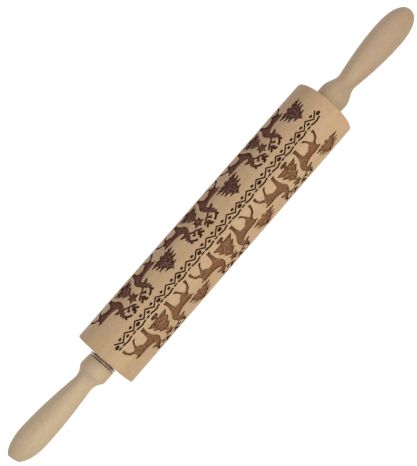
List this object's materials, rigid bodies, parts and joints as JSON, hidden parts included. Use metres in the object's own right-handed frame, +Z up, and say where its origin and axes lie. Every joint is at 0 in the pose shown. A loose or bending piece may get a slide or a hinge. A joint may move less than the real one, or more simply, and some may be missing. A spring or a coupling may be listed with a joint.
{
  "type": "rolling pin",
  "caption": "Rolling pin whose engraved wooden barrel turns freely on a steel axle between turned wooden handles.",
  "frame": {"origin": "on the axle's centre line, at the middle of the pin's overall length", "axes": "+X along the axle towards the longer handle, +Z up through the side of the barrel that is seen first, -Z down to the surface that the barrel lies on"},
  "size_m": [0.4358, 0.05, 0.05],
  "materials": {
    "beech_barrel": "fine sanded, bare, engraved parts charred brown",
    "beech_handle": "turned and fine sanded, bare",
    "white_nylon": "moulded, matt",
    "zinc_steel": "zinc plated, dull",
    "insert_brass": "machined"
  },
  "bodies": {
    "handles_and_axle": {"axle_rod": "zinc_steel", "left_handle": "beech_handle", "right_handle": "beech_handle", "left_insert_nut": "insert_brass", "right_insert_nut": "insert_brass"},
    "end_float_carrier": {"right_thrust_washer": "zinc_steel"},
    "barrel": {"barrel": "beech_barrel", "left_bush": "white_nylon", "right_bush": "white_nylon"},
    "left_washer": {"left_thrust_washer": "zinc_steel"}
  },
  "joints": [
    {"name": "barrel_end_float", "type": "slide", "parent": "handles_and_axle", "child": "end_float_carrier", "axis": [1, 0, 0], "range_m": [-0.0009, 0]},
    {"name": "barrel_spin", "type": "hinge", "parent": "end_float_carrier", "child": "barrel", "pos_m": [0, 0, 0], "axis": [1, 0, 0], "continuous": true},
    {"name": "left_washer_float", "type": "slide", "parent": "handles_and_axle", "child": "left_washer", "axis": [1, 0, 0], "range_m": [-0.00054, 0]}
  ],
  "couplings": [
    {"joint": "left_washer_float", "follows": "barrel_end_float", "ratio": 0.6}
  ]
}
